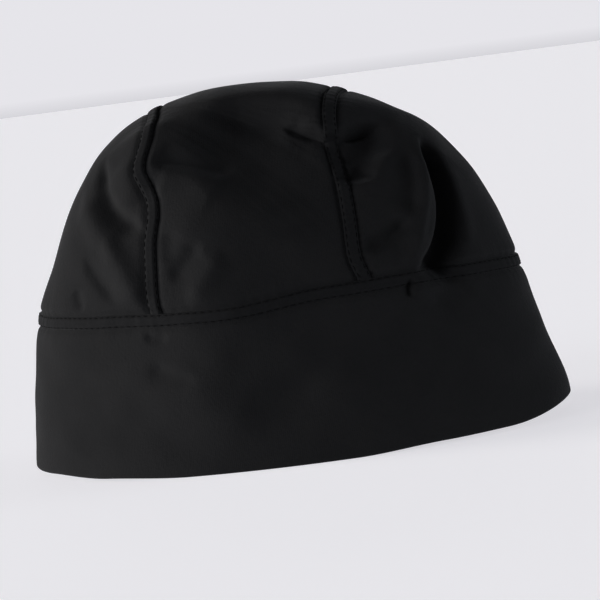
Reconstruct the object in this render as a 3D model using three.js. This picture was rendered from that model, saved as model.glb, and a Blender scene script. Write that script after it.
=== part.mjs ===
// A close-fitting beanie of stretch fleece, standing on its rim. A centre strip runs from front to
// back over the crown between two side panels, and a tall band of two layers closes it below. Flat
// raised seams join them. Millimetres, +Z up, front toward -Y, +X to the right as seen from the
// front, origin on the floor in the middle of the rim.
import * as THREE from "three";

// Driving sizes
const CROWN_BASE = 60;        // height where the crown panels start
const CROWN_WALL = 1.8;       // one layer of fleece
const BAND_WALL = 3;          // two layers of fleece
const SEAM_WIDTH = 4.7;       // flat seam, edge to edge
const SEAM_PROUD = 0.55;      // how far a seam stands over the cloth
const SEAM_EDGE_PROUD = 0.1;
const GAP = 0.3;              // left between neighbouring pieces
const FRONT_FULLNESS = 2.4;   // exponent of the crown's curve in depth, 2 is an ellipse
const TOP_FULLNESS = 1.45;    // exponent of the crown's curve in height, 2 is an ellipse

// Half sizes of the outside at four heights of the band
const RINGS = [
  { up: 0, left: 99.8, right: 99.8, front: 76, back: 76 },
  { up: 28, left: 97, right: 93.7, front: 73.5, back: 73.5 },
  { up: 48, left: 93.8, right: 89.8, front: 71.3, back: 71.3 },
  { up: CROWN_BASE, left: 90.6, right: 86.6, front: 70, back: 70 },
];

// Outline of the crown from the front: height of its top at places across
const OUTLINE = [
  { across: -90.6, top: CROWN_BASE },
  { across: -83.4, top: 76 },
  { across: -74, top: 96.7 },
  { across: -63, top: 112.3 },
  { across: -47, top: 124.5 },
  { across: -30, top: 130.5 },
  { across: -12, top: 133.6 },
  { across: 2, top: 133.5 },
  { across: 17, top: 131.2 },
  { across: 33, top: 125.5 },
  { across: 49, top: 118 },
  { across: 62, top: 108.9 },
  { across: 72.5, top: 94 },
  { across: 80, top: 79.2 },
  { across: 86.6, top: CROWN_BASE },
];

// Places across of the two crown seams, at angles over the crown from the front to the back
const SEAM_LINES = [
  { rise: 0, left: -38.5, right: 36 },
  { rise: 13, left: -39, right: 33.5 },
  { rise: 27, left: -38.3, right: 33 },
  { rise: 38, left: -36.5, right: 32 },
  { rise: 51, left: -40, right: 29.5 },
  { rise: 64, left: -37.5, right: 28 },
  { rise: 84, left: -38.5, right: 28.5 },
  { rise: 120, left: -37, right: 31 },
  { rise: 180, left: -37.5, right: 36 },
];

// How far the rim is lifted off the floor, and the band seam off its level, around the hat:
// the front is 0 degrees, and the side toward +X is 90
const SETTLE = [
  { around: -180, rim: 0, seam: 0 },
  { around: -130, rim: 0, seam: 1 },
  { around: -90, rim: 3, seam: 0.4 },
  { around: -68, rim: 2.6, seam: -0.5 },
  { around: -49, rim: 1.1, seam: -1.2 },
  { around: -25, rim: 0, seam: -2 },
  { around: -12, rim: 0, seam: -2.3 },
  { around: 20, rim: 0, seam: 0.9 },
  { around: 43, rim: 1.3, seam: 1.4 },
  { around: 60, rim: 1.6, seam: 0.9 },
  { around: 90, rim: 5.8, seam: -0.3 },
  { around: 130, rim: 0, seam: 0.6 },
  { around: 180, rim: 0, seam: 0 },
];

// Folds and soft swellings. Each follows a curve through three places (across, up) on the outside.
// deep is how far the cloth stands out there, below zero for a valley. left and right are the
// widths to either side of the way along it, seen from outside. fade is the share of the
// length over which each end fades out, FOLD_FADE if a row has none.
const FRONT_FOLDS = [
  { name: "left hook", from: [-56, 114.5], by: [-53.5, 96.5], to: [-39, 87],
    deep: -2.6, left: 3, right: 3, fade: 0.22 },
  { name: "swelling in the hook", from: [-48, 112.5], by: [-45, 104], to: [-43, 95.5],
    deep: 1.6, left: 4, right: 4.4 },
  { name: "ridge round the hook", from: [-65, 105], by: [-58.5, 89.5], to: [-48, 80.5],
    deep: 1.9, left: 3, right: 3.8 },
  { name: "left slant", from: [-65, 81.5], by: [-59.5, 72], to: [-52, 63],
    deep: -1, left: 3, right: 3 },
  { name: "left slant ridge", from: [-56, 86.5], by: [-48.5, 73], to: [-43, 60],
    deep: 2.6, left: 3.2, right: 3.8 },
  { name: "left seam shoulder", from: [-37, 127], by: [-36.5, 115], to: [-36, 102.5],
    deep: 2.8, left: 5, right: 9, fade: 0.25 },
  { name: "front left swell", from: [-17.5, 101], by: [-17, 56], to: [-26, 3.5],
    deep: 3.5, left: 14, right: 17, fade: 0.2 },
  { name: "crown hollow", from: [-18.5, 99], by: [0, 113.5], to: [14, 126],
    deep: -11, left: 16, right: 20, fade: 0.42 },
  { name: "crown crease", from: [-36.5, 110], by: [-22.5, 108.5], to: [-7.5, 102.5],
    deep: -2, left: 4, right: 3, fade: 0.2 },
  { name: "crown hollow lip", from: [-35.5, 106.5], by: [-21.5, 103.5], to: [-9, 99.5],
    deep: 1.6, left: 3, right: 6, fade: 0.2 },
  { name: "smile under the top", from: [12.5, 116.5], by: [30.5, 110], to: [50, 112.5],
    deep: -2.7, left: 3, right: 5.5, fade: 0.25 },
  { name: "pocket hollow", from: [31.5, 94], by: [41.5, 104], to: [49.5, 117],
    deep: -9.5, left: 10, right: 5.7, fade: 0.35 },
  { name: "top hollow", from: [-20, 124], by: [2.5, 125.5], to: [25, 119.5],
    deep: -4.5, left: 5, right: 10, fade: 0.35 },
  { name: "smile lip", from: [15, 119], by: [29.5, 114.5], to: [46.5, 116.5],
    deep: 1, left: 3.4, right: 3 },
  { name: "ridge under the smile", from: [31.5, 98], by: [40.5, 100], to: [51.5, 103],
    deep: 1.3, left: 3, right: 3, fade: 0.25 },
  { name: "small pull", from: [29, 97.5], by: [36.5, 95.5], to: [44, 96.5],
    deep: -2.1, left: 3, right: 3 },
  { name: "centre slant", from: [-18.5, 82.5], by: [-25.5, 76], to: [-31.5, 68.5],
    deep: -1.2, left: 3, right: 3 },
  { name: "centre slant ridge", from: [-11, 79], by: [-18, 70.5], to: [-26.5, 60.5],
    deep: 1.5, left: 3.2, right: 3 },
  { name: "seam side hollow", from: [-30.5, 87.5], by: [-30.5, 81.5], to: [-31.5, 75],
    deep: -0.8, left: 3, right: 3 },
  { name: "right ridge", from: [57, 111], by: [58.5, 84], to: [51, 62],
    deep: 2.1, left: 3, right: 3.2, fade: 0.25 },
  { name: "right deep fold", from: [57.5, 107.5], by: [65, 77.5], to: [53.5, 58],
    deep: -7.5, left: 5, right: 4.5, fade: 0.16 },
  { name: "outer right ridge", from: [64, 103], by: [69.5, 83.5], to: [73, 64],
    deep: 2.4, left: 3.4, right: 3.4 },
  { name: "right slant", from: [36, 70.5], by: [45, 72.5], to: [54.5, 79.5],
    deep: -2, left: 3, right: 3, fade: 0.25 },
  { name: "right lobe", from: [47.5, 64], by: [54.5, 67], to: [59.5, 74],
    deep: 1.3, left: 3, right: 3.4 },
  { name: "band slant", from: [-44, 42.5], by: [-35.5, 37.5], to: [-23.5, 34],
    deep: -0.7, left: 3, right: 3 },
  { name: "band short pull", from: [51, 58], by: [50.5, 54], to: [49.5, 51],
    deep: -0.8, left: 3, right: 3 },
  { name: "band long pull", from: [69, 58.5], by: [64, 51.5], to: [56.5, 44],
    deep: -2.6, left: 6, right: 3.6 },
  { name: "band diagonal", from: [-14, 20], by: [2.5, 24.5], to: [20.5, 33],
    deep: -1.2, left: 4, right: 5, fade: 0.35 },
  { name: "band swell", from: [-13, 30.5], by: [4.5, 36.5], to: [18.5, 43],
    deep: 0.8, left: 6, right: 5, fade: 0.35 },
];
const BACK_FOLDS = [
  { name: "back left hollow", from: [-60, 106], by: [-56, 88], to: [-46, 72],
    deep: -3, left: 7, right: 5 },
  { name: "back left ridge", from: [-66, 98], by: [-62, 82], to: [-54, 66],
    deep: 1.6, left: 5, right: 5 },
  { name: "back crown dent", from: [-20, 120], by: [-4, 113], to: [16, 116],
    deep: -2.6, left: 6, right: 7 },
  { name: "back right slant", from: [64, 98], by: [57, 82], to: [47, 66],
    deep: -3.2, left: 4, right: 6 },
  { name: "back right ridge", from: [56, 100], by: [50, 84], to: [43, 70],
    deep: 1.6, left: 4, right: 4 },
  { name: "back low pull", from: [-22, 66], by: [-12, 72], to: [0, 74],
    deep: -1.4, left: 4, right: 4 },
  { name: "back band slant", from: [18, 44], by: [32, 39], to: [48, 41],
    deep: -1.4, left: 4, right: 4 },
  { name: "back band swelling", from: [-52, 30], by: [-30, 36], to: [-8, 32],
    deep: 1.4, left: 9, right: 9 },
];
const FOLD_SAMPLES = 12;
const FOLD_FADE = 0.3;
const FOLD_NARROW = 0.5;      // width of a fold at its very ends, as a share
const FOLD_LEAN = new THREE.Vector3(0.4, 1, 0.12);  // folds go in toward the back more than sideways or down
const STRAIGHT = new THREE.Vector3(1, 1, 1);

// Fineness of the faceted surfaces
const BAND_STEPS = 64;
const FRONT_RISE_STEPS = 22;
const BACK_RISE_STEPS = 14;
const CENTRE_STEPS = 12;
const LEFT_STEPS = 12;
const RIGHT_STEPS = 14;

const radians = THREE.MathUtils.degToRad;

// Smooth curve through table rows, with level ends
function smooth(places, values, at) {
  const last = places.length - 1;
  const x = Math.min(Math.max(at, places[0]), places[last]);
  let i = 0;
  while (i < last - 1 && x > places[i + 1]) i += 1;
  const slope = (k) => (values[k + 1] - values[k]) / (places[k + 1] - places[k]);
  const tangent = (k) => {
    if (k === 0 || k === last) return 0;
    const before = places[k] - places[k - 1];
    const after = places[k + 1] - places[k];
    return (slope(k - 1) * after + slope(k) * before) / (before + after);
  };
  const h = places[i + 1] - places[i];
  const t = (x - places[i]) / h;
  const a = (2 * t ** 3 - 3 * t ** 2 + 1) * values[i] + (t ** 3 - 2 * t ** 2 + t) * h * tangent(i);
  const b = (3 * t ** 2 - 2 * t ** 3) * values[i + 1] + (t ** 3 - t ** 2) * h * tangent(i + 1);
  return a + b;
}

// The same without overshoot: level at every row
function ease(rows, key, column, at) {
  let i = 0;
  while (i < rows.length - 2 && at > rows[i + 1][key]) i += 1;
  const t = THREE.MathUtils.smoothstep(at, rows[i][key], rows[i + 1][key]);
  return THREE.MathUtils.lerp(rows[i][column], rows[i + 1][column], t);
}

const ringHeights = RINGS.map((row) => row.up);
function ring(column, up) {
  return smooth(ringHeights, RINGS.map((row) => row[column]), up);
}

const baseRing = RINGS[RINGS.length - 1];
function crownHalfWidth(across) {
  return across < 0 ? baseRing.left : baseRing.right;
}
function crownAngle(across) {
  const ratio = across / crownHalfWidth(across);
  return Math.asin(Math.min(Math.max(ratio, -1), 1));
}
const outlineAngles = OUTLINE.map((row) => crownAngle(row.across));
const outlineTops = OUTLINE.map((row) => row.top);
function crownTop(across) {
  return smooth(outlineAngles, outlineTops, crownAngle(across));
}

const seamRises = SEAM_LINES.map((row) => row.rise);
function seamAcross(side, rise) {
  return smooth(seamRises, SEAM_LINES.map((row) => row[side]), rise);
}

// A place on the smooth outside of the crown. rise is 0 at the front and 180 at the back.
function crownPoint(across, rise) {
  const forward = Math.cos(radians(rise));
  const upward = Math.max(Math.sin(radians(rise)), 0);
  const reach = forward > 0 ? baseRing.front : baseRing.back;
  const depth = reach * Math.cos(crownAngle(across)) * Math.abs(forward) ** (2 / FRONT_FULLNESS);
  const height = (crownTop(across) - CROWN_BASE) * upward ** (2 / TOP_FULLNESS);
  return new THREE.Vector3(across, -Math.sign(forward) * depth, CROWN_BASE + height);
}

// A place on the smooth outside of the band
function bandPoint(turn, up) {
  const sideways = Math.sin(radians(turn));
  const forward = Math.cos(radians(turn));
  const width = ring(sideways < 0 ? "left" : "right", up);
  const depth = ring(forward > 0 ? "front" : "back", up);
  return new THREE.Vector3(width * sideways, -depth * forward, up);
}

// The place on the smooth outside that is seen from the front or back at (across, up)
function seenPoint([across, up], facing) {
  if (up < CROWN_BASE) {
    const turn = Math.asin(across / ring(across < 0 ? "left" : "right", up));
    return bandPoint(facing > 0 ? THREE.MathUtils.radToDeg(turn) : 180 - THREE.MathUtils.radToDeg(turn), up);
  }
  const share = Math.min((up - CROWN_BASE) / (crownTop(across) - CROWN_BASE), 1);
  const rise = THREE.MathUtils.radToDeg(Math.asin(share ** (TOP_FULLNESS / 2)));
  return crownPoint(across, facing > 0 ? rise : 180 - rise);
}

// Way out of the cloth: level at the band, and turning up over the crown
function outward(point, lean = STRAIGHT) {
  const up = Math.max(point.z - CROWN_BASE, 0) / (crownTop(0) - CROWN_BASE) ** 2;
  const half = crownHalfWidth(point.x);
  return new THREE.Vector3(point.x / half ** 2, point.y / baseRing.front ** 2, up).multiply(lean).normalize();
}

// Folds as curves on the smooth outside
function traceFold(fold, facing) {
  const path = [];
  for (let i = 0; i <= FOLD_SAMPLES; i += 1) {
    const t = i / FOLD_SAMPLES;
    const weights = [(1 - t) * (1 - 2 * t), 4 * t * (1 - t), t * (2 * t - 1)];
    const across = weights[0] * fold.from[0] + weights[1] * fold.by[0] + weights[2] * fold.to[0];
    const up = weights[0] * fold.from[1] + weights[1] * fold.by[1] + weights[2] * fold.to[1];
    path.push(seenPoint([across, up], facing));
  }
  return { ...fold, path };
}
const folds = [
  ...FRONT_FOLDS.map((fold) => traceFold(fold, 1)),
  ...BACK_FOLDS.map((fold) => traceFold(fold, -1)),
];

// How far one fold moves the cloth at a place
function foldDepth(fold, point) {
  let best = { distance: Infinity, t: 0, side: 0 };
  const nearest = new THREE.Vector3();
  for (let i = 0; i < FOLD_SAMPLES; i += 1) {
    const line = new THREE.Line3(fold.path[i], fold.path[i + 1]);
    const along = line.closestPointToPointParameter(point, true);
    line.at(along, nearest);
    const distance = nearest.distanceTo(point);
    if (distance < best.distance) {
      const way = line.delta(new THREE.Vector3());
      const leftward = outward(nearest).cross(way);
      best = { distance, t: (i + along) / FOLD_SAMPLES, side: leftward.dot(point.clone().sub(nearest)) };
    }
  }
  const ends = THREE.MathUtils.smoothstep(Math.min(best.t, 1 - best.t), 0, fold.fade ?? FOLD_FADE);
  const width = (best.side > 0 ? fold.left : fold.right) * THREE.MathUtils.lerp(FOLD_NARROW, 1, ends);
  return fold.deep * ends * Math.exp(-0.5 * (best.distance / width) ** 2);
}

// Lifts the rim and the band seam off their level, less and less toward the rim and the top
function settle(point) {
  const around = THREE.MathUtils.radToDeg(Math.atan2(point.x, -point.y));
  const low = THREE.MathUtils.clamp(1 - point.z / CROWN_BASE, 0, 1);
  const high = THREE.MathUtils.clamp((point.z - CROWN_BASE) / (crownTop(0) - CROWN_BASE), 0, 1);
  point.z += ease(SETTLE, "around", "rim", around) * low;
  point.z += ease(SETTLE, "around", "seam", around) * (1 - low) * (1 - high) ** 2;
  return point;
}

// Moves a place on the smooth outside with the folds, and out of the cloth there by offset
function dress(point, offset) {
  const depth = folds.reduce((sum, fold) => sum + foldDepth(fold, point), 0);
  const folded = point.clone().addScaledVector(outward(point, FOLD_LEAN), depth);
  return settle(folded.addScaledVector(outward(point), offset));
}

// Closed solid between an outer and an inner grid of places. A wrapped grid closes on itself in its
// first direction. Places that coincide, as at the tip of a panel, become one.
function shell(outer, inner, wrapped = false) {
  const rows = outer.length;
  const columns = outer[0].length;
  const positions = [];
  const known = new Map();
  const vertex = (point) => {
    const key = point.toArray().map((value) => value.toFixed(4)).join(" ");
    if (!known.has(key)) {
      known.set(key, positions.length / 3);
      positions.push(point.x, point.y, point.z);
    }
    return known.get(key);
  };
  const faces = [];
  const triangle = (a, b, c) => {
    const corners = [vertex(a), vertex(b), vertex(c)];
    if (new Set(corners).size === 3) faces.push(corners);
  };
  const quad = (a, b, c, d) => {
    if (a.distanceToSquared(c) <= b.distanceToSquared(d)) {
      triangle(a, b, c);
      triangle(a, c, d);
    } else {
      triangle(a, b, d);
      triangle(b, c, d);
    }
  };
  const strips = wrapped ? rows : rows - 1;
  for (let i = 0; i < strips; i += 1) {
    const next = (i + 1) % rows;
    for (let j = 0; j < columns - 1; j += 1) {
      quad(outer[i][j], outer[next][j], outer[next][j + 1], outer[i][j + 1]);
      quad(inner[i][j], inner[i][j + 1], inner[next][j + 1], inner[next][j]);
    }
    const end = columns - 1;
    quad(outer[i][0], inner[i][0], inner[next][0], outer[next][0]);
    quad(outer[i][end], outer[next][end], inner[next][end], inner[i][end]);
  }
  if (!wrapped) {
    const last = rows - 1;
    for (let j = 0; j < columns - 1; j += 1) {
      quad(outer[0][j], outer[0][j + 1], inner[0][j + 1], inner[0][j]);
      quad(outer[last][j], inner[last][j], inner[last][j + 1], outer[last][j + 1]);
    }
  }
  const corner = (index) => new THREE.Vector3().fromArray(positions, index * 3);
  const volume = faces.reduce((sum, [a, b, c]) => sum + corner(a).dot(corner(b).cross(corner(c))), 0);
  const turned = volume < 0 ? faces.map(([a, b, c]) => [a, c, b]) : faces;
  const geometry = new THREE.BufferGeometry();
  geometry.setAttribute("position", new THREE.Float32BufferAttribute(positions, 3));
  geometry.setIndex(turned.flat());
  geometry.computeVertexNormals();
  return geometry;
}

function grid(rows, columns, place) {
  return rows.map((row) => columns.map((column) => place(row, column)));
}

function steps(from, to, count) {
  return Array.from({ length: count + 1 }, (_, i) => from + ((to - from) * i) / count);
}

// Angles over the crown, finer at the front where the folds are
const rises = [...steps(0, 90, FRONT_RISE_STEPS), ...steps(90, 180, BACK_RISE_STEPS).slice(1)];

// Profile across a flat seam: places across it and how far each stands over the cloth
const SEAM_PROFILE = [
  { share: -0.5, proud: SEAM_EDGE_PROUD },
  { share: -0.25, proud: SEAM_PROUD },
  { share: 0.25, proud: SEAM_PROUD },
  { share: 0.5, proud: SEAM_EDGE_PROUD },
];
const PANEL_INSET = SEAM_WIDTH / 2 + GAP;

// The crown's pieces. A panel's places across depend on the angle over the crown.
function crownPanel(across, shares) {
  const place = (offset) => (rise, share) => dress(crownPoint(across(share, rise), rise), offset);
  return shell(grid(rises, shares, place(0)), grid(rises, shares, place(-CROWN_WALL)));
}

function crownCentre() {
  const across = (share, rise) => THREE.MathUtils.lerp(
    seamAcross("left", rise) + PANEL_INSET, seamAcross("right", rise) - PANEL_INSET, share);
  return crownPanel(across, steps(0, 1, CENTRE_STEPS));
}

function crownSide(side, count) {
  const sign = side === "left" ? -1 : 1;
  const half = side === "left" ? baseRing.left : baseRing.right;
  const across = (share, rise) => {
    const edge = crownAngle(seamAcross(side, rise) + sign * PANEL_INSET);
    return half * Math.sin(THREE.MathUtils.lerp(edge, sign * Math.PI / 2, share));
  };
  return crownPanel(across, steps(0, 1, count));
}

function crownSeam(side) {
  const at = (rise, row) => crownPoint(seamAcross(side, rise) + row.share * SEAM_WIDTH, rise);
  const outer = grid(rises, SEAM_PROFILE, (rise, row) => dress(at(rise, row), row.proud));
  const inner = grid(rises, SEAM_PROFILE, (rise, row) => dress(at(rise, row), -CROWN_WALL));
  return shell(outer, inner);
}

// The band and its seams
const SEAM_TOP = CROWN_BASE - GAP;
const SEAM_MIDDLE = SEAM_TOP - SEAM_WIDTH / 2;
const BAND_TOP = SEAM_TOP - SEAM_WIDTH - GAP;

// Heights up the band, with how much its faces draw in toward the rim's soft edge
const BAND_ROWS = [
  { up: 0, inset: 0.7 },
  { up: 1.2, inset: 0 },
  { up: 12, inset: 0 },
  { up: 22, inset: 0 },
  { up: 32, inset: 0 },
  { up: 40, inset: 0 },
  { up: 46, inset: 0 },
  { up: 51, inset: 0 },
  { up: BAND_TOP, inset: 0 },
];

function bandPlace(turn, row, proud, wall) {
  const offset = wall === 0 ? proud - row.inset : row.inset - wall;
  return dress(bandPoint(turn, row.up), offset);
}

function band() {
  const seamTurn = THREE.MathUtils.radToDeg(PANEL_INSET / baseRing.left);
  const turns = steps(-180 + seamTurn, 180 - seamTurn, BAND_STEPS);
  const outer = grid(turns, BAND_ROWS, (turn, row) => bandPlace(turn, row, 0, 0));
  const inner = grid(turns, BAND_ROWS, (turn, row) => bandPlace(turn, row, 0, BAND_WALL));
  return shell(outer, inner);
}

function bandBackSeam() {
  const turnOf = (row) => 180 + THREE.MathUtils.radToDeg((row.share * SEAM_WIDTH) / ring("left", 0));
  const outer = grid(SEAM_PROFILE, BAND_ROWS, (seam, row) => bandPlace(turnOf(seam), row, seam.proud, 0));
  const inner = grid(SEAM_PROFILE, BAND_ROWS, (seam, row) => bandPlace(turnOf(seam), row, 0, BAND_WALL));
  return shell(outer, inner);
}

function bandSeam() {
  const turns = steps(-180, 180, BAND_STEPS).slice(0, -1);
  const at = (turn, row) => bandPoint(turn, SEAM_MIDDLE + row.share * SEAM_WIDTH);
  const outer = grid(turns, SEAM_PROFILE, (turn, row) => dress(at(turn, row), row.proud));
  const inner = grid(turns, SEAM_PROFILE, (turn, row) => dress(at(turn, row), -BAND_WALL));
  return shell(outer, inner, true);
}

// Materials: black fleece, and the same cloth doubled over and stitched at the seams
const fleece = new THREE.MeshStandardMaterial({ color: 0x1b1a1b, roughness: 0.95, metalness: 0 });
const seamFleece = new THREE.MeshStandardMaterial({ color: 0x131314, roughness: 0.9, metalness: 0 });

const beanie = new THREE.Group();
function add(name, geometry, material) {
  const mesh = new THREE.Mesh(geometry, material);
  mesh.name = name;
  beanie.add(mesh);
}
add("band", band(), fleece);
add("band_back_seam", bandBackSeam(), seamFleece);
add("band_seam", bandSeam(), seamFleece);
add("crown_centre", crownCentre(), fleece);
add("crown_left", crownSide("left", LEFT_STEPS), fleece);
add("crown_right", crownSide("right", RIGHT_STEPS), fleece);
add("crown_seam_left", crownSeam("left"), seamFleece);
add("crown_seam_right", crownSeam("right"), seamFleece);

export default beanie;
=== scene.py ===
"""A black stretch-fleece beanie standing on its rim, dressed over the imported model."""
import math

import bmesh
import bpy
import numpy as np
from mathutils import Matrix, Vector


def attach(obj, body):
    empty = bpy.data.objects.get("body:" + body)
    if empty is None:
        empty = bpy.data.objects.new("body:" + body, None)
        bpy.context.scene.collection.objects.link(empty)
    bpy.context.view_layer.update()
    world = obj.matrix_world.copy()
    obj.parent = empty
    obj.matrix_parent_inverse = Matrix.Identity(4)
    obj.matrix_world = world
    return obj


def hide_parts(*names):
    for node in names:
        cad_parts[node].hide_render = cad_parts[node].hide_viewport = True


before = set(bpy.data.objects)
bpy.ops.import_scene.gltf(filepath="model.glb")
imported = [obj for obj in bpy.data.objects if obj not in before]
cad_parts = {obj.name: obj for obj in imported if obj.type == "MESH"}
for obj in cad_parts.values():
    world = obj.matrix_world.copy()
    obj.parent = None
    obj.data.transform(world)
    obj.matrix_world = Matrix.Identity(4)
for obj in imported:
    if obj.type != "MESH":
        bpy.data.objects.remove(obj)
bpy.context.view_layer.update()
METRES = 0.001                # the beanie's sizes below are in millimetres

# Camera: the photograph's view, found from the two ends of the rim
PHOTO_SIZE = 600
RIM_LEFT_PIXEL = (37, 470)
RIM_RIGHT_PIXEL = (572, 390)
RIM_WIDTH = 200.0
RIM_ENDS_UP = 4.0             # how high the rim's two ends are off the floor
RIM_ENDS_ACROSS = 0.5
CAMERA_AZIMUTH = 6.5
CAMERA_ELEVATION = 4.0
CAMERA_ROLL = 7.5
CAMERA_LENS = 200.0
SENSOR = 36.0

# Driving sizes of the beanie
CROWN_BASE = 60.0
CROWN_WALL = 1.8
BAND_WALL = 3.0
SEAM_WIDTH = 4.7
GAP = 0.3
TUCK = 0.12                   # how far a panel's edge reaches under a seam's strip
FRONT_FULLNESS = 2.4
TOP_FULLNESS = 1.45

# Half sizes of the outside at four heights of the band: up, left, right, front, back
RINGS = np.array([
    (0, 99.8, 99.8, 76, 76),
    (28, 97, 93.7, 73.5, 73.5),
    (48, 93.8, 89.8, 71.3, 71.3),
    (CROWN_BASE, 90.6, 86.6, 70, 70),
])
RING_COLUMNS = {"left": 1, "right": 2, "front": 3, "back": 4}

# Outline of the crown from the front: across, top
OUTLINE = np.array([
    (-90.6, CROWN_BASE), (-83.4, 76), (-74, 96.7), (-63, 112.3), (-47, 124.5),
    (-30, 130.5), (-12, 133.6), (2, 133.5), (17, 131.2), (33, 125.5),
    (49, 118), (62, 108.9), (72.5, 94), (80, 79.2), (86.6, CROWN_BASE),
])

# Places across of the crown seams over the crown: angle from the front, left seam, right seam
SEAM_LINES = np.array([
    (0, -38.5, 36), (13, -39, 33.5), (27, -38.3, 33), (38, -36.5, 32), (51, -40, 29.5),
    (64, -37.5, 28), (84, -38.5, 28.5), (120, -37, 31), (180, -37.5, 36),
])

# Lift of the rim and of the band seam around the hat: angle from the front, rim, seam
SETTLE = np.array([
    (-180, 0, 0), (-130, 0, 1), (-90, 3, 0.4), (-68, 2.6, -0.5), (-49, 1.1, -1.2), (-25, 0, -2),
    (-12, 0, -2.3), (20, 0, 0.9), (43, 1.3, 1.4), (60, 1.6, 0.9), (90, 5.8, -0.3), (130, 0, 0.6),
    (180, 0, 0),
])

# Folds: name, start, by, end (across, up), deep, width to the left and to the right of the way,
# and the share of the length over which each end fades out
FRONT_FOLDS = [
    ("left hook", (-56, 114.5), (-53.5, 96.5), (-39, 87), -3.4, 2.2, 2.4, 0.22),
    ("swelling in the hook", (-48, 112.5), (-45, 104), (-43, 95.5), 1.6, 4, 4.4, 0.3),
    ("ridge round the hook", (-65, 105), (-58.5, 89.5), (-48, 80.5), 2, 2.8, 3.8, 0.3),
    ("left slant", (-65, 81.5), (-59.5, 72), (-52, 63), -1.4, 2.6, 1.8, 0.3),
    ("left slant ridge", (-56, 86.5), (-48.5, 73), (-43, 60), 2.6, 3.2, 3.8, 0.3),
    ("left pull", (-69.5, 70), (-69, 65.5), (-67.5, 61), -1, 2, 1.8, 0.3),
    ("left seam shoulder", (-37, 127), (-36.5, 115), (-36, 102.5), 2.8, 5, 9, 0.25),
    ("front left swell", (-17.5, 101), (-17, 56), (-26, 3.5), 3.5, 14, 17, 0.2),
    ("crown hollow", (-18.5, 99), (0, 113.5), (14, 126), -13, 16, 20, 0.42),
    ("crown crease", (-36.5, 110), (-22.5, 108.5), (-7.5, 102.5), -2.6, 4, 1.3, 0.2),
    ("crown hollow lip", (-35.5, 106.5), (-21.5, 103.5), (-9, 99.5), 1.8, 2, 6, 0.2),
    ("crown slant", (-10.5, 102.5), (2.5, 110), (16.5, 118.5), 0.8, 2.6, 4, 0.25),
    ("smile under the top", (12.5, 116.5), (30.5, 110), (50, 112.5), -3.4, 1.2, 5.5, 0.25),
    ("pocket hollow", (31.5, 94), (41.5, 104), (49.5, 117), -9.5, 10, 3.4, 0.35),
    ("top hollow", (-20, 124), (2.5, 125.5), (25, 119.5), -4.5, 5, 10, 0.35),
    ("smile crease left", (10, 118), (19, 114.5), (28, 110.5), -4.2, 2.2, 1.4, 0.35),
    ("smile crease right", (30, 110.5), (39, 110.5), (48, 113.5), -4.2, 2.2, 1.4, 0.35),
    ("smile lip", (15, 119), (29.5, 114.5), (46.5, 116.5), 1.2, 3.4, 2, 0.3),
    ("ridge under the smile", (31.5, 98), (40.5, 100), (51.5, 103), 1.6, 2.2, 2.6, 0.25),
    ("small pull", (29, 97.5), (36.5, 95.5), (44, 96.5), -3.6, 2.4, 1.1, 0.3),
    ("gather one", (15, 118), (19.5, 120.5), (26, 119.5), -0.8, 1.1, 1.3, 0.3),
    ("gather two", (15, 116.5), (20, 118), (26, 116.5), -0.7, 1, 1.2, 0.3),
    ("centre slant", (-18.5, 82.5), (-25.5, 76), (-31.5, 68.5), -1.5, 2.4, 2.6, 0.3),
    ("centre slant ridge", (-11, 79), (-18, 70.5), (-26.5, 60.5), 1.5, 3.2, 3, 0.3),
    ("seam side hollow", (-30.5, 87.5), (-30.5, 81.5), (-31.5, 75), -0.9, 2.6, 2.4, 0.3),
    ("centre pull", (2.5, 83.5), (16, 82.5), (29.5, 82), -0.8, 3.5, 3.5, 0.3),
    ("right ridge", (57, 111), (58.5, 84), (51, 62), 2.8, 1.5, 3.2, 0.25),
    ("right deep fold", (57.5, 107.5), (65, 77.5), (53.5, 58), -13, 5, 1.8, 0.16),
    ("outer right ridge", (64, 103), (69.5, 83.5), (73, 64), 2.4, 3.4, 3.4, 0.3),
    ("right panel hollow", (53, 106.5), (55, 90), (52.5, 77.5), -2.6, 2, 5, 0.3),
    ("right slant", (36, 70.5), (45, 72.5), (54.5, 79.5), -3, 2.6, 1.4, 0.25),
    ("right lobe", (47.5, 64), (54.5, 67), (59.5, 74), 1.4, 2.4, 3.4, 0.3),
    ("band smile", (-44, 53), (-39.5, 51), (-33.5, 52), -1.1, 0.9, 1.3, 0.3),
    ("band slant", (-44, 42.5), (-35.5, 37.5), (-23.5, 34), -0.9, 1.6, 3, 0.3),
    ("band short pull", (51, 58), (50.5, 54), (49.5, 51), -2.2, 1.1, 1.1, 0.3),
    ("band long pull", (69, 58.5), (64, 51.5), (56.5, 44), -2.6, 6, 3.6, 0.3),
    ("band pull ridge", (57, 57.5), (54, 53), (50.5, 48), 0.8, 1.8, 1.5, 0.3),
    ("band diagonal", (-14, 20), (2.5, 24.5), (20.5, 33), -1.2, 4, 5, 0.35),
    ("band swell", (-13, 30.5), (4.5, 36.5), (18.5, 43), 0.8, 6, 5, 0.35),
]
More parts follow.
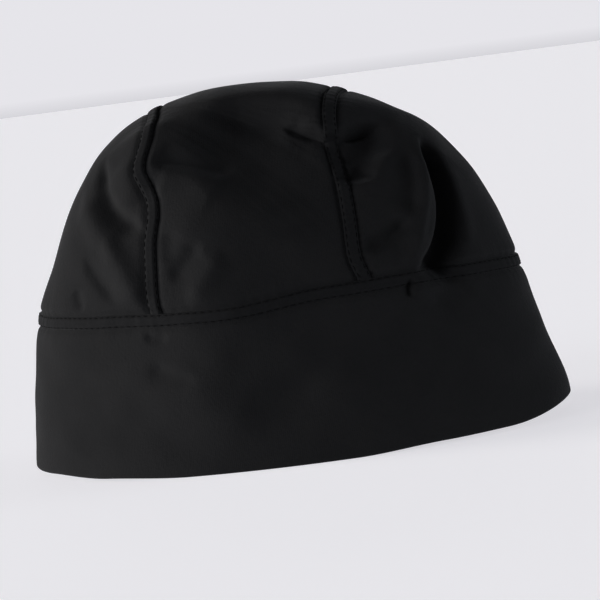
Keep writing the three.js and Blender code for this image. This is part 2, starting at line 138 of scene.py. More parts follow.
BACK_FOLDS = [
    ("back left hollow", (-60, 106), (-56, 88), (-46, 72), -3, 7, 5, 0.3),
    ("back left ridge", (-66, 98), (-62, 82), (-54, 66), 1.6, 5, 5, 0.3),
    ("back crown dent", (-20, 120), (-4, 113), (16, 116), -2.6, 6, 7, 0.3),
    ("back right slant", (64, 98), (57, 82), (47, 66), -3.2, 4, 6, 0.3),
    ("back right ridge", (56, 100), (50, 84), (43, 70), 1.6, 4, 4, 0.3),
    ("back low pull", (-22, 66), (-12, 72), (0, 74), -1.4, 4, 4, 0.3),
    ("back band slant", (18, 44), (32, 39), (48, 41), -1.4, 4, 4, 0.3),
    ("back band swelling", (-52, 30), (-30, 36), (-8, 32), 1.4, 9, 9, 0.3),
]
FOLD_SAMPLES = 12
FOLD_REACH = 4                # widths from its line to where a fold has died away
FOLD_NARROW = 0.5             # width of a fold at its very ends, as a share
FOLD_LEAN = (0.4, 1, 0.12)    # folds go in toward the back more than sideways or down

# Fineness of the meshes
RISE_STEPS = 380
CENTRE_STEPS = 120
SIDE_STEPS = 110
SEAM_STEPS = 20
BAND_STEPS = 620
BAND_RISE_STEPS = 63
RIM_STEPS = 9
WELD_DISTANCE = 1e-6          # in metres
SHARP_ANGLE = 50


def smooth(places, values, at):
    """Smooth curve through table rows, with level ends."""
    places = np.asarray(places, float)
    values = np.asarray(values, float)
    widths = np.diff(places)
    slopes = np.diff(values) / widths
    tangents = np.zeros(len(places))
    tangents[1:-1] = (slopes[:-1] * widths[1:] + slopes[1:] * widths[:-1]) / (widths[:-1] + widths[1:])
    x = np.clip(at, places[0], places[-1])
    i = np.clip(np.searchsorted(places, x, side="left") - 1, 0, len(places) - 2)
    h = widths[i]
    t = (x - places[i]) / h
    near = (2 * t**3 - 3 * t**2 + 1) * values[i] + (t**3 - 2 * t**2 + t) * h * tangents[i]
    far = (3 * t**2 - 2 * t**3) * values[i + 1] + (t**3 - t**2) * h * tangents[i + 1]
    return near + far


def smoothstep(x, low, high):
    t = np.clip((x - low) / (high - low), 0, 1)
    return t * t * (3 - 2 * t)


def ease(table, column, at):
    """The same without overshoot: level at every row."""
    places = table[:, 0]
    i = np.clip(np.searchsorted(places, at, side="right") - 1, 0, len(places) - 2)
    t = smoothstep(at, places[i], places[i + 1])
    return table[i, column] * (1 - t) + table[i + 1, column] * t


def ring(column, up):
    return smooth(RINGS[:, 0], RINGS[:, RING_COLUMNS[column]], up)


BASE_LEFT, BASE_RIGHT, BASE_FRONT, BASE_BACK = RINGS[-1, 1:]


def crown_half_width(across):
    return np.where(across < 0, BASE_LEFT, BASE_RIGHT)


def crown_angle(across):
    return np.arcsin(np.clip(across / crown_half_width(across), -1, 1))


OUTLINE_ANGLES = crown_angle(OUTLINE[:, 0])


def crown_top(across):
    return smooth(OUTLINE_ANGLES, OUTLINE[:, 1], crown_angle(across))


TOP_HEIGHT = float(crown_top(np.array(0.0))) - CROWN_BASE


def seam_across(side, rise):
    return smooth(SEAM_LINES[:, 0], SEAM_LINES[:, 1 if side == "left" else 2], rise)


def crown_point(across, rise):
    """A place on the smooth outside of the crown. rise is 0 at the front and 180 at the back."""
    forward = np.cos(np.radians(rise))
    upward = np.maximum(np.sin(np.radians(rise)), 0)
    reach = np.where(forward > 0, BASE_FRONT, BASE_BACK)
    depth = reach * np.cos(crown_angle(across)) * np.abs(forward) ** (2 / FRONT_FULLNESS)
    height = (crown_top(across) - CROWN_BASE) * upward ** (2 / TOP_FULLNESS)
    return np.stack(np.broadcast_arrays(across, -np.sign(forward) * depth, CROWN_BASE + height), -1)


def band_point(turn, up):
    """A place on the smooth outside of the band. turn is 0 at the front and 90 at +X."""
    sideways = np.sin(np.radians(turn))
    forward = np.cos(np.radians(turn))
    width = np.where(sideways < 0, ring("left", up), ring("right", up))
    depth = np.where(forward > 0, ring("front", up), ring("back", up))
    return np.stack(np.broadcast_arrays(width * sideways, -depth * forward, up), -1)


def seen_point(across, up, facing):
    """The place on the smooth outside that is seen from the front or back at (across, up)."""
    across = np.asarray(across, float)
    up = np.asarray(up, float)
    width = np.where(across < 0, ring("left", up), ring("right", up))
    turn = np.degrees(np.arcsin(np.clip(across / width, -1, 1)))
    on_band = band_point(np.where(facing > 0, turn, 180 - turn), up)
    height = np.maximum(crown_top(across) - CROWN_BASE, 1e-6)
    share = np.clip((up - CROWN_BASE) / height, 0, 1)
    rise = np.degrees(np.arcsin(share ** (TOP_FULLNESS / 2)))
    on_crown = crown_point(across, np.where(facing > 0, rise, 180 - rise))
    return np.where((up < CROWN_BASE)[..., None], on_band, on_crown)


def outward(points, lean=(1, 1, 1)):
    """Way out of the cloth: level at the band, and turning up over the crown."""
    up = np.maximum(points[..., 2] - CROWN_BASE, 0) / TOP_HEIGHT**2
    half = crown_half_width(points[..., 0])
    way = np.stack([points[..., 0] / half**2, points[..., 1] / BASE_FRONT**2, up], -1) * lean
    return way / np.linalg.norm(way, axis=-1, keepdims=True)


def trace_fold(fold, facing):
    name, start, by, end, deep, left, right, fade = fold
    t = np.linspace(0, 1, FOLD_SAMPLES + 1)
    weights = np.stack([(1 - t) * (1 - 2 * t), 4 * t * (1 - t), t * (2 * t - 1)])
    across, up = (weights[0] * start[k] + weights[1] * by[k] + weights[2] * end[k] for k in (0, 1))
    return {"path": seen_point(across, up, facing), "deep": deep, "left": left, "right": right, "fade": fade}


FOLDS = [trace_fold(fold, 1) for fold in FRONT_FOLDS] + [trace_fold(fold, -1) for fold in BACK_FOLDS]


def fold_depth(points):
    """How far all folds together move the cloth at each place."""
    flat = points.reshape(-1, 3)
    total = np.zeros(len(flat))
    for fold in FOLDS:
        path = fold["path"]
        reach = FOLD_REACH * max(fold["left"], fold["right"])
        near = np.all((flat > path.min(0) - reach) & (flat < path.max(0) + reach), axis=1)
        if not near.any():
            continue
        here = flat[near]
        best = np.full(len(here), np.inf)
        along = np.zeros(len(here))
        side = np.zeros(len(here))
        for i in range(FOLD_SAMPLES):
            way = path[i + 1] - path[i]
            t = np.clip((here - path[i]) @ way / (way @ way), 0, 1)
            nearest = path[i] + t[:, None] * way
            off = here - nearest
            distance = np.linalg.norm(off, axis=1)
            closer = distance < best
            leftward = np.cross(outward(nearest), way)
            best[closer] = distance[closer]
            along[closer] = (i + t[closer]) / FOLD_SAMPLES
            side[closer] = np.einsum("ij,ij->i", leftward, off)[closer]
        ends = smoothstep(np.minimum(along, 1 - along), 0, fold["fade"])
        width = np.where(side > 0, fold["left"], fold["right"]) * (FOLD_NARROW + (1 - FOLD_NARROW) * ends)
        total[near] += fold["deep"] * ends * np.exp(-0.5 * (best / width) ** 2)
    return total.reshape(points.shape[:-1])


# Slack of the cloth: gentle waves in all directions, (wave length, height)
SLACK_WAVES = [(46, 0.2), (31, 0.12), (21, 0.06), (14, 0.035)]
SLACK_WAYS = 4                # waves of each length
SLACK_SEED = 7
SLACK_FULL_UP = 14            # height from which the cloth is slack, and none at the rim


def slack(points):
    """Small unevenness of soft cloth, the same at the same place in every run."""
    draw = np.random.default_rng(SLACK_SEED)
    total = np.zeros(points.shape[:-1])
    for length, height in SLACK_WAVES:
        for _ in range(SLACK_WAYS):
            way = draw.normal(size=3)
            way /= np.linalg.norm(way)
            phase = draw.uniform(0, 2 * math.pi)
            total += height * np.sin(points @ way * (2 * math.pi / length) + phase)
    return total


def settle(points):
    """Lifts the rim and the band seam off their level, less and less toward rim and top."""
    around = np.degrees(np.arctan2(points[..., 0], -points[..., 1]))
    low = np.clip(1 - points[..., 2] / CROWN_BASE, 0, 1)
    high = np.clip((points[..., 2] - CROWN_BASE) / TOP_HEIGHT, 0, 1)
    moved = points.copy()
    moved[..., 2] += ease(SETTLE, 1, around) * low
    moved[..., 2] += ease(SETTLE, 2, around) * (1 - low) * (1 - high) ** 2
    return moved


def dress(points, relief):
    """Places of the folded cloth's outside, and its way out there."""
    loose = smoothstep(points[..., 2], 0, SLACK_FULL_UP)
    way = outward(points)
    folded = points + outward(points, FOLD_LEAN) * fold_depth(points)[..., None]
    return folded + way * (slack(points) * loose + relief)[..., None], way


def laid(folded, way, offset):
    return settle(folded + way * offset[..., None])


# Seams: the cloth dips beside them, puckers along them, and the strip itself stands up
SEAM_PROUD = 0.45
SEAM_DIP = 0.85
DIP_WIDTH = 1.3
PUCKER = 0.09
PUCKER_REACH = 4.0
PUCKER_LENGTH = 6.6
PUCKER_DRIFT = 1.9            # how far the ripples come early and late, in radians
PUCKER_DRIFT_LENGTH = 37
PUCKER_FADE = 0.45            # how much the ripples weaken and strengthen, as a share
PUCKER_FADE_LENGTH = 53


def pucker(distance, along):
    """Short ripples that run out from a seam, of uneven length and strength."""
    drift = PUCKER_DRIFT * np.sin(2 * np.pi * along / PUCKER_DRIFT_LENGTH)
    swing = np.sin(2 * np.pi * along / PUCKER_LENGTH + drift)
    fade = 1 - PUCKER_FADE + PUCKER_FADE * np.sin(2 * np.pi * along / PUCKER_FADE_LENGTH + 1)
    return PUCKER * swing * fade * np.exp(-distance / PUCKER_REACH)


def beside_seam(distance, along):
    return -SEAM_DIP * np.exp(-((distance / DIP_WIDTH) ** 2)) + pucker(distance, along)


STITCH_PITCH = 2.9
STITCH_LENGTH = 2.3
STITCH_RADIUS = 0.18
STITCH_ROW = SEAM_WIDTH / 2 - 0.55    # from the seam's middle line
GROOVE_DEPTH = 0.32
GROOVE_WIDTH = 0.42
PINCH = 0.03                  # how much each stitch pulls the strip down
EDGE_DIP = 0.6                # how far the strip's edges follow the dip beside it, as a share


def seam_relief(offset, along):
    """Height of the strip over the cloth at a distance from its middle line."""
    edge = np.abs(offset) / (SEAM_WIDTH / 2)
    raised = SEAM_PROUD * (1 - edge**8)
    groove = GROOVE_DEPTH * np.exp(-(((np.abs(offset) - STITCH_ROW) / GROOVE_WIDTH) ** 2))
    dip = SEAM_DIP * EDGE_DIP * edge**6
    pinch = PINCH * np.cos(2 * np.pi * along / STITCH_PITCH) * (1 - edge**2)
    return raised - groove - dip + pinch + pucker(0 * offset, along)


def make_shell(name, outer, inner, uv, wrapped=False):
    """A closed mesh between an outer and an inner grid of places, joined at their borders."""
    rows, columns = outer.shape[:2]
    loop = np.concatenate([outer, inner[:, ::-1]], axis=1)
    count = 2 * columns
    index = np.arange(rows * count).reshape(rows, count)
    next_rows = np.roll(index, -1, axis=0)
    if not wrapped:
        index, next_rows = index[:-1], next_rows[:-1]
    sides = np.stack([index, next_rows, np.roll(next_rows, -1, axis=1), np.roll(index, -1, axis=1)], -1)
    faces = [sides.reshape(-1, 4)]
    if not wrapped:
        k = np.arange(columns - 1)
        first = np.stack([k, k + 1, count - 2 - k, count - 1 - k], -1)
        faces += [first, first[:, ::-1] + (rows - 1) * count]
    faces = np.concatenate(faces)
    mesh = bpy.data.meshes.new(name)
    mesh.from_pydata((loop.reshape(-1, 3) * METRES).tolist(), [], faces.tolist())
    layer = mesh.uv_layers.new(name="cloth")
    flat_uv = np.concatenate([uv, uv[:, ::-1]], axis=1).reshape(-1, 2) * METRES
    corners = np.zeros(len(mesh.loops), dtype=np.int32)
    mesh.loops.foreach_get("vertex_index", corners)
    layer.data.foreach_set("uv", flat_uv[corners].astype(np.float32).ravel())
    tidy = bmesh.new()
    tidy.from_mesh(mesh)
    bmesh.ops.remove_doubles(tidy, verts=tidy.verts, dist=WELD_DISTANCE)
    bmesh.ops.recalc_face_normals(tidy, faces=tidy.faces)
    tidy.to_mesh(mesh)
    tidy.free()
    mesh.shade_smooth()
    mesh.set_sharp_from_angle(angle=math.radians(SHARP_ANGLE))
    piece = bpy.data.objects.new(name, mesh)
    bpy.context.scene.collection.objects.link(piece)
    return piece


def cloth_piece(name, folded, way, outside, inside, uv, wrapped=False):
    """Cloth from one height over its folded outside to another."""
    shape = folded.shape[:-1]
    outer = laid(folded, way, np.broadcast_to(outside, shape))
    inner = laid(folded, way, np.broadcast_to(inside, shape))
    return make_shell(name, outer, inner, uv, wrapped)


PANEL_INSET = SEAM_WIDTH / 2 - TUCK
RISES = np.concatenate([[0], np.linspace(0, 180, RISE_STEPS + 1), [180]])

# Millimetres of cloth for each radian: along a crown seam, from side to side over the crown,
# along the crown's lower edge and round the band
SEAM_ARC = 84.0
CROWN_ARC = 88.0
LOW_EDGE_ARC = 82.0
BAND_ARC = 84.0
RIGHT_SEAM_SHIFT = 3          # keeps the puckers of the right seam out of step with the left one's


def over_crown(degrees):
    return np.radians(degrees) * SEAM_ARC


def over_front_and_back(across):
    """Places on the smooth crown, a row for each angle, with a hem at both ends under the band seam."""
    rise = np.broadcast_to(RISES[:, None], across.shape)
    base = crown_point(across, rise)
    base[[0, -1], :, 2] -= GAP + TUCK
    return rise, base


def low_edge_relief(base):
    """The dip and puckers of a crown panel along the band seam."""
    around = np.arctan2(base[..., 0], -base[..., 1]) * LOW_EDGE_ARC
    return beside_seam(np.maximum(base[..., 2] - CROWN_BASE, 0), around)


def crown_centre():
    share = np.linspace(0, 1, CENTRE_STEPS + 1)[None, :]
    left = (seam_across("left", RISES) + PANEL_INSET)[:, None]
    right = (seam_across("right", RISES) - PANEL_INSET)[:, None]
    across = left + (right - left) * share
    rise, base = over_front_and_back(across)
    along = over_crown(rise)
    relief = beside_seam(across - left, along) + beside_seam(right - across, along + RIGHT_SEAM_SHIFT)
    folded, way = dress(base, relief + low_edge_relief(base))
    uv = np.stack([crown_angle(across) * CROWN_ARC, along], -1)
    return cloth_piece("crown_centre_cloth", folded, way, 0, -CROWN_WALL, uv)


def crown_side(side):
    sign = -1 if side == "left" else 1
    half = BASE_LEFT if side == "left" else BASE_RIGHT
    edge = (seam_across(side, RISES) + sign * PANEL_INSET)[:, None]
    share = np.linspace(0, 1, SIDE_STEPS + 1)[None, :]
    angle = crown_angle(edge) + (sign * np.pi / 2 - crown_angle(edge)) * share
    across = half * np.sin(angle)
    rise, base = over_front_and_back(across)
    along = over_crown(rise) + (0 if side == "left" else RIGHT_SEAM_SHIFT)
    relief = beside_seam(np.abs(across - edge), along) + low_edge_relief(base)
    folded, way = dress(base, relief)
    uv = np.stack([angle * CROWN_ARC, over_crown(rise)], -1)
    return cloth_piece(f"crown_{side}_cloth", folded, way, 0, -CROWN_WALL, uv)


SEAM_COLUMNS = np.linspace(-0.5, 0.5, SEAM_STEPS + 1) * SEAM_WIDTH


def crown_seam(side):
    along = over_crown(RISES)[:, None]
    across = seam_across(side, RISES)[:, None] + SEAM_COLUMNS[None, :]
    rise, base = over_front_and_back(across)
    relief = seam_relief(np.broadcast_to(SEAM_COLUMNS, across.shape), along)
    folded, way = dress(base, 0)
    low = low_edge_relief(base)
    uv = np.stack(np.broadcast_arrays(SEAM_COLUMNS[None, :], along), -1)
    return cloth_piece(f"crown_seam_{side}_strip", folded, way, relief + low, low - CROWN_WALL, uv)


SEAM_TOP = CROWN_BASE - GAP
SEAM_MIDDLE = SEAM_TOP - SEAM_WIDTH / 2
BAND_TOP = SEAM_TOP - SEAM_WIDTH + TUCK
ROLL = BAND_WALL / 2          # the rim is a soft half-round fold
RIM_FLAT = 12                 # degrees of that fold's curve that rest flat on the floor
BACK_SEAM_GROWS = 3           # height over which the back seam's strip comes up out of the fold


def band_rows():
    """Heights up the band and how much its faces draw in toward the fold at the rim."""
    angles = np.radians(np.linspace(RIM_FLAT, 90, RIM_STEPS + 1))
    fold_up = ROLL * (1 - np.cos(angles))
    fold_in = ROLL * (1 - np.sin(angles))
    straight = np.linspace(ROLL, BAND_TOP, BAND_RISE_STEPS + 1)[1:]
    return np.concatenate([fold_up, straight]), np.concatenate([fold_in, 0 * straight])


def band():
    seam_turn = math.degrees(PANEL_INSET / RINGS[0, 1])
    turns = np.linspace(-180 + seam_turn, 180 - seam_turn, BAND_STEPS + 1)
    up, inset = band_rows()
    turn = np.broadcast_to(turns[:, None], (len(turns), len(up)))
    up = np.broadcast_to(up, turn.shape)
    base = band_point(turn, up)
    along = np.radians(turn) * BAND_ARC
    from_back_seam = np.minimum(turn - turns[0], turns[-1] - turn) * math.pi / 180 * BAND_ARC
    relief = beside_seam(BAND_TOP - up, along) + beside_seam(from_back_seam, up)
    folded, way = dress(base, relief)
    uv = np.stack([along, up], -1)
    return cloth_piece("band_cloth", folded, way, -inset, inset - BAND_WALL, uv)


def band_back_seam():
    up, inset = band_rows()
    offset, up = np.broadcast_arrays(SEAM_COLUMNS[:, None], up)
    turn = 180 + np.degrees(offset / RINGS[0, 1])
    base = band_point(turn, up)
    relief = seam_relief(offset, up) * smoothstep(up, 0, BACK_SEAM_GROWS)
    folded, way = dress(base, 0)
    uv = np.stack([offset, up], -1)
    return cloth_piece("band_back_seam_strip", folded, way, relief - inset, inset - BAND_WALL, uv)


def band_seam():
    turns = np.linspace(-180, 180, BAND_STEPS + 1)[:-1]
    up = SEAM_MIDDLE + SEAM_COLUMNS
    turn = np.broadcast_to(turns[:, None], (len(turns), len(up)))
    base = band_point(turn, np.broadcast_to(up, turn.shape))
    along = np.radians(turn) * BAND_ARC
    relief = seam_relief(np.broadcast_to(SEAM_COLUMNS, turn.shape), along)
    folded, way = dress(base, 0)
    uv = np.stack(np.broadcast_arrays(SEAM_COLUMNS[None, :], along), -1)
    return cloth_piece("band_seam_strip", folded, way, relief, -BAND_WALL, uv, wrapped=True)


# Stitches: short threads lying in two grooves along every seam
STITCH_SIDES = 6
STITCH_RINGS = 7
STITCH_SINK = 0.34            # how far a stitch's ends go down into the cloth
STITCH_BEND = 2.4             # exponent of the way down
STITCH_BLUNT = 5              # exponent of the rounding at its ends
STITCH_TIP = 0.02             # square of the share of its thickness left at the very ends
STITCH_RELIEF = SEAM_PROUD * 0.35
STITCH_LOOK_ALONG = 0.8       # from a stitch's middle to where its direction is taken
BACK_STITCHES_FROM = 2.5      # height of the lowest stitch of the back seam
# Places along the lines that the rows of stitches follow
CROWN_LINE_PLACES = 900
BAND_LINE_PLACES = 2000
BACK_LINE_PLACES = 200


def make_stitches(name, middles, ways, outs):
    """One mesh of short bent threads. Each has a middle, a way along and a way out of the cloth."""
    t = np.linspace(-1, 1, STITCH_RINGS)[None, :, None]
    angle = (np.arange(STITCH_SIDES) * 2 * np.pi / STITCH_SIDES)[None, None, :, None]
    thickness = STITCH_RADIUS * np.sqrt(np.clip(1 - np.abs(t) ** STITCH_BLUNT, STITCH_TIP, 1))
    sink = -STITCH_SINK * np.abs(t) ** STITCH_BEND
    across = np.cross(ways, outs)
    centre = middles[:, None] + ways[:, None] * (t * STITCH_LENGTH / 2) + outs[:, None] * sink
    ringed = across[:, None, None] * np.cos(angle) + outs[:, None, None] * np.sin(angle)
    verts = centre[:, :, None] + ringed * thickness[..., None]
    shape = (len(middles), STITCH_RINGS, STITCH_SIDES)
    index = np.arange(math.prod(shape)).reshape(shape)
    here, there = index[:, :-1], index[:, 1:]
    sides = np.stack([here, np.roll(here, -1, axis=2), np.roll(there, -1, axis=2), there], -1).reshape(-1, 4)
    caps = [row.tolist() for row in index[:, 0, ::-1]] + [row.tolist() for row in index[:, -1]]
    mesh = bpy.data.meshes.new(name)
    mesh.from_pydata((verts.reshape(-1, 3) * METRES).tolist(), [], sides.tolist() + caps)
    mesh.shade_smooth()
    piece = bpy.data.objects.new(name, mesh)
    bpy.context.scene.collection.objects.link(piece)
    return piece


def between(at, places, rows):
    """Rows of a table of vectors at places between its own."""
    return np.stack([np.interp(at, places, rows[:, k]) for k in range(3)], -1)


def stitch_row(points, relief):
    """Middles, ways and outs of stitches along a line of places on the smooth outside."""
    folded, way = dress(points, 0)
    line = laid(folded, way, np.full(len(points), relief))
    length = np.concatenate([[0], np.cumsum(np.linalg.norm(np.diff(line, axis=0), axis=1))])
    count = int(length[-1] // STITCH_PITCH)
    at = (np.arange(count) + 0.5) * length[-1] / count
    middles = between(at, length, line)
    outs = between(at, length, way)
    ways = between(at + STITCH_LOOK_ALONG, length, line) - between(at - STITCH_LOOK_ALONG, length, line)
    ways /= np.linalg.norm(ways, axis=1, keepdims=True)
    outs -= ways * np.einsum("ij,ij->i", outs, ways)[:, None]
    outs /= np.linalg.norm(outs, axis=1, keepdims=True)
    return middles, ways, outs


def seam_stitches(name, rows):
    found = [stitch_row(points, STITCH_RELIEF) for points in rows]
    return make_stitches(name, *(np.concatenate(parts) for parts in zip(*found)))


def crown_stitches(side):
    rises = np.linspace(1, 179, CROWN_LINE_PLACES)
    lines = [crown_point(seam_across(side, rises) + sign * STITCH_ROW, rises) for sign in (-1, 1)]
    return seam_stitches(f"crown_seam_{side}_stitches", lines)


def band_stitches():
    turns = np.linspace(-180, 180, BAND_LINE_PLACES)
    lines = [band_point(turns, np.full_like(turns, SEAM_MIDDLE + sign * STITCH_ROW)) for sign in (-1, 1)]
    return seam_stitches("band_seam_stitches", lines)


def back_stitches():
    up = np.linspace(BACK_STITCHES_FROM, BAND_TOP - 1, BACK_LINE_PLACES)
    turn = math.degrees(STITCH_ROW / RINGS[0, 1])
    lines = [band_point(np.full_like(up, 180 + sign * turn), up) for sign in (-1, 1)]
    return seam_stitches("band_back_seam_stitches", lines)


# Materials
CLOTH_BLACK = (0.0088, 0.009, 0.0096, 1)
CLOTH_WORN = (0.0115, 0.0115, 0.012, 1)
SEAM_BLACK = (0.0066, 0.0068, 0.0074, 1)
SEAM_WORN = (0.0092, 0.0093, 0.0099, 1)
THREAD_BLACK = (0.0028, 0.0028, 0.003, 1)
SHEEN_TINT = (0.93, 0.95, 1.0, 1)


def shader(name, roughness, sheen, sheen_roughness, specular):
    material = bpy.data.materials.new(name)
    material.use_nodes = True
    principled = material.node_tree.nodes["Principled BSDF"]
    principled.inputs["Roughness"].default_value = roughness
    principled.inputs["Sheen Weight"].default_value = sheen
    principled.inputs["Sheen Roughness"].default_value = sheen_roughness
    principled.inputs["Sheen Tint"].default_value = SHEEN_TINT
    principled.inputs["Specular IOR Level"].default_value = specular
    return material, material.node_tree, principled


def node(tree, kind, **inputs):
    made = tree.nodes.new(kind)
    for name, value in inputs.items():
        made.inputs[name.replace("_", " ")].default_value = value
    return made


def noise_colour(tree, noise, low, low_colour, high, high_colour):
    """A colour that goes from one to another between two values of a noise."""
    ramp = tree.nodes.new("ShaderNodeValToRGB")
    first, last = ramp.color_ramp.elements
    first.position, last.position = low, high
    first.color, last.color = low_colour, high_colour
    tree.links.new(noise.outputs["Fac"], ramp.inputs["Fac"])
    return ramp.outputs["Color"]


def fleece_material():
    """Brushed stretch jersey: faint knitted columns under a short, uneven nap."""
    material, tree, principled = shader("fleece", 0.95, 0.04, 0.35, 0.05)
    link = tree.links.new
    place = tree.nodes.new("ShaderNodeTexCoord")
    cloudy = node(tree, "ShaderNodeTexNoise", Scale=38.0, Detail=4.0, Roughness=0.6)
    link(place.outputs["Object"], cloudy.inputs["Vector"])
    nap = node(tree, "ShaderNodeTexNoise", Scale=900.0, Detail=3.0, Roughness=0.7)
    link(place.outputs["Object"], nap.inputs["Vector"])
    link(noise_colour(tree, cloudy, 0.3, CLOTH_BLACK, 0.75, CLOTH_WORN), principled.inputs["Base Color"])
    columns = node(tree, "ShaderNodeTexWave", Scale=520.0, Distortion=1.2, Detail=1.0)
    columns.wave_type = "BANDS"
    columns.bands_direction = "X"
    link(place.outputs["UV"], columns.inputs["Vector"])
    nap_bump = node(tree, "ShaderNodeBump", Strength=0.6, Distance=0.00045)
    link(nap.outputs["Fac"], nap_bump.inputs["Height"])
    knit_bump = node(tree, "ShaderNodeBump", Strength=0.16, Distance=0.0002)
    link(columns.outputs["Fac"], knit_bump.inputs["Height"])
    link(nap_bump.outputs["Normal"], knit_bump.inputs["Normal"])
    link(knit_bump.outputs["Normal"], principled.inputs["Normal"])
    return material


def seam_material():
    """The same cloth drawn tight under crossing threads."""
    material, tree, principled = shader("seam_fleece", 0.95, 0.035, 0.35, 0.05)
    link = tree.links.new
    place = tree.nodes.new("ShaderNodeTexCoord")
    nap = node(tree, "ShaderNodeTexNoise", Scale=1100.0, Detail=3.0, Roughness=0.65)
    link(place.outputs["Object"], nap.inputs["Vector"])
    link(noise_colour(tree, nap, 0.3, SEAM_BLACK, 0.7, SEAM_WORN), principled.inputs["Base Color"])
    bump = node(tree, "ShaderNodeBump", Strength=0.4, Distance=0.0004)
    link(nap.outputs["Fac"], bump.inputs["Height"])
    link(bump.outputs["Normal"], principled.inputs["Normal"])
    return material


def thread_material():
    """Black spun polyester thread, a little smoother than the cloth."""
    material, tree, principled = shader("thread", 0.8, 0.01, 0.3, 0.04)
    principled.inputs["Base Color"].default_value = THREAD_BLACK
    link = tree.links.new
    place = tree.nodes.new("ShaderNodeTexCoord")
    twist = node(tree, "ShaderNodeTexNoise", Scale=2600.0, Detail=2.0, Roughness=0.5)
    link(place.outputs["Object"], twist.inputs["Vector"])
    bump = node(tree, "ShaderNodeBump", Strength=0.3, Distance=0.0001)
    link(twist.outputs["Fac"], bump.inputs["Height"])
    link(bump.outputs["Normal"], principled.inputs["Normal"])
    return material


def floor_material():
    material = bpy.data.materials.new("floor")
    material.use_nodes = True
    principled = material.node_tree.nodes["Principled BSDF"]
    principled.inputs["Base Color"].default_value = FLOOR_COLOUR
    principled.inputs["Roughness"].default_value = 1.0
    principled.inputs["Specular IOR Level"].default_value = 0.0
    principled.inputs["Emission Color"].default_value = FLOOR_GLOW
    principled.inputs["Emission Strength"].default_value = 1.0
    return material


# Stage and light
FLOOR_SIZE = 60.0
FLOOR_COLOUR = (0.5, 0.5, 0.5, 1)
FLOOR_GLOW = (0.616, 0.609, 0.642, 1)    # the paper is lit from below too, so the shadow stays faint
# The room's own light from below the horizon, from the pale backdrop at it, and from above:
# height of each on the way from the middle of the view, colour
ROOM = [
    (-0.02, (0.24, 0.245, 0.27, 1)),
    (0.0, (0.791, 0.784, 0.823, 1)),
    (0.08, (0.791, 0.784, 0.823, 1)),
    (0.25, (0.03, 0.03, 0.033, 1)),
]
# Soft lights: name, azimuth from the front (toward +X), elevation, strength, spread, colour
LIGHTS = [
    ("left_light", -92, 5, 4.3, 36, (1.0, 0.972, 0.93)),
    ("front_light", -42, 5, 2.0, 36, (0.97, 0.975, 1.0)),
    ("right_light", 98, 4, 1.5, 40, (0.9, 0.95, 1.0)),
    ("back_light", 190, 8, 0.8, 40, (1.0, 1.0, 1.0)),
]


def direction(azimuth, elevation):
    a, e = math.radians(azimuth), math.radians(elevation)
    return Vector((math.sin(a) * math.cos(e), -math.cos(a) * math.cos(e), math.sin(e)))


def make_stage():
    mesh = bpy.data.meshes.new("floor")
    h = FLOOR_SIZE / 2
    mesh.from_pydata([(-h, -h, 0), (h, -h, 0), (h, h, 0), (-h, h, 0)], [], [(0, 1, 2, 3)])
    mesh.materials.append(floor_material())
    floor = bpy.data.objects.new("floor", mesh)
    bpy.context.scene.collection.objects.link(floor)
    # Thin bright paper, lit from below: the low lights shine through it, and its own glow is left
    # out, because it would wash out the folds of the black cloth
    floor.visible_diffuse = False
    floor.visible_shadow = False


def make_room():
    """The backdrop, and the light that comes from all around."""
    world = bpy.data.worlds.new("studio")
    bpy.context.scene.world = world
    world.use_nodes = True
    tree = world.node_tree
    background = tree.nodes["Background"]
    place = tree.nodes.new("ShaderNodeTexCoord")
    split = tree.nodes.new("ShaderNodeSeparateXYZ")
    rise = node(tree, "ShaderNodeMapRange", From_Min=-1.0, From_Max=1.0)
    ramp = tree.nodes.new("ShaderNodeValToRGB")
    stops = ramp.color_ramp.elements
    while len(stops) < len(ROOM):
        stops.new(1)
    for stop, (height, colour) in zip(stops, ROOM):
        stop.position = (height + 1) / 2
        stop.color = colour
    tree.links.new(place.outputs["Generated"], split.inputs["Vector"])
    tree.links.new(split.outputs["Z"], rise.inputs["Value"])
    tree.links.new(rise.outputs["Result"], ramp.inputs["Fac"])
    tree.links.new(ramp.outputs["Color"], background.inputs["Color"])
    bpy.context.scene.view_settings.view_transform = "Standard"


def make_lights():
    for name, azimuth, elevation, strength, spread, colour in LIGHTS:
        light = bpy.data.lights.new(name, "SUN")
        light.energy = strength
        light.angle = math.radians(spread)
        light.color = colour
        lamp = bpy.data.objects.new(name, light)
        lamp.rotation_mode = "QUATERNION"
        lamp.rotation_quaternion = direction(azimuth, elevation).to_track_quat("Z", "Y")
        bpy.context.scene.collection.objects.link(lamp)


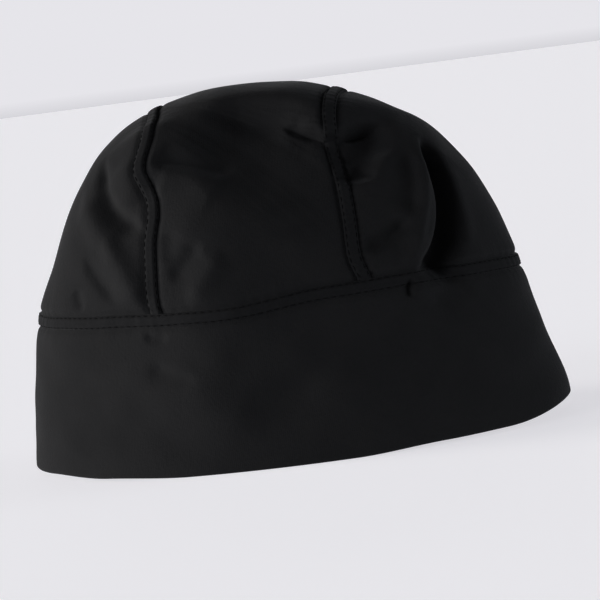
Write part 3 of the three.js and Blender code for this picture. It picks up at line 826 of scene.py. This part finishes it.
def make_camera():
    """Stands where the rim's two ends fall on their pixels of the photograph."""
    back = direction(CAMERA_AZIMUTH, CAMERA_ELEVATION)
    a = math.radians(CAMERA_AZIMUTH)
    level = Vector((math.cos(a), math.sin(a), 0))
    upright = back.cross(level)
    rim_pixels = math.dist(RIM_LEFT_PIXEL, RIM_RIGHT_PIXEL)
    scale = RIM_WIDTH / rim_pixels
    distance = CAMERA_LENS / SENSOR * PHOTO_SIZE * scale
    roll = math.radians(CAMERA_ROLL)
    right = level * math.cos(roll) - upright * math.sin(roll)
    up = level * math.sin(roll) + upright * math.cos(roll)
    middle = [(p + q) / 2 for p, q in zip(RIM_LEFT_PIXEL, RIM_RIGHT_PIXEL)]
    x = (middle[0] - PHOTO_SIZE / 2) * scale
    y = -(middle[1] - PHOTO_SIZE / 2) * scale
    eye = Vector((RIM_ENDS_ACROSS, 0, RIM_ENDS_UP)) - right * x - up * y + back * distance
    camera = bpy.data.cameras.new("camera")
    camera.lens = CAMERA_LENS
    camera.sensor_width = SENSOR
    camera.clip_end = 200
    holder = bpy.data.objects.new("camera", camera)
    matrix = Matrix((right, up, back)).transposed().to_4x4()
    matrix.translation = eye * METRES
    holder.matrix_world = matrix
    bpy.context.scene.collection.objects.link(holder)
    bpy.context.scene.camera = holder


def place(piece, material, slot, *replaced):
    piece.data.materials.append(material)
    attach(piece, "root")
    if replaced:
        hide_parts(*replaced)


make_camera()
make_room()
make_lights()
make_stage()
fleece = fleece_material()
seam_fleece = seam_material()
thread = thread_material()
place(crown_centre(), fleece, "fleece", "crown_centre")
place(crown_side("left"), fleece, "fleece", "crown_left")
place(crown_side("right"), fleece, "fleece", "crown_right")
place(band(), fleece, "fleece", "band")
place(band_seam(), seam_fleece, "seam_fleece", "band_seam")
place(band_back_seam(), seam_fleece, "seam_fleece", "band_back_seam")
for side in ("left", "right"):
    place(crown_seam(side), seam_fleece, "seam_fleece", "crown_seam_" + side)
    place(crown_stitches(side), thread, "seam_fleece")
place(band_stitches(), thread, "seam_fleece")
place(back_stitches(), thread, "seam_fleece")
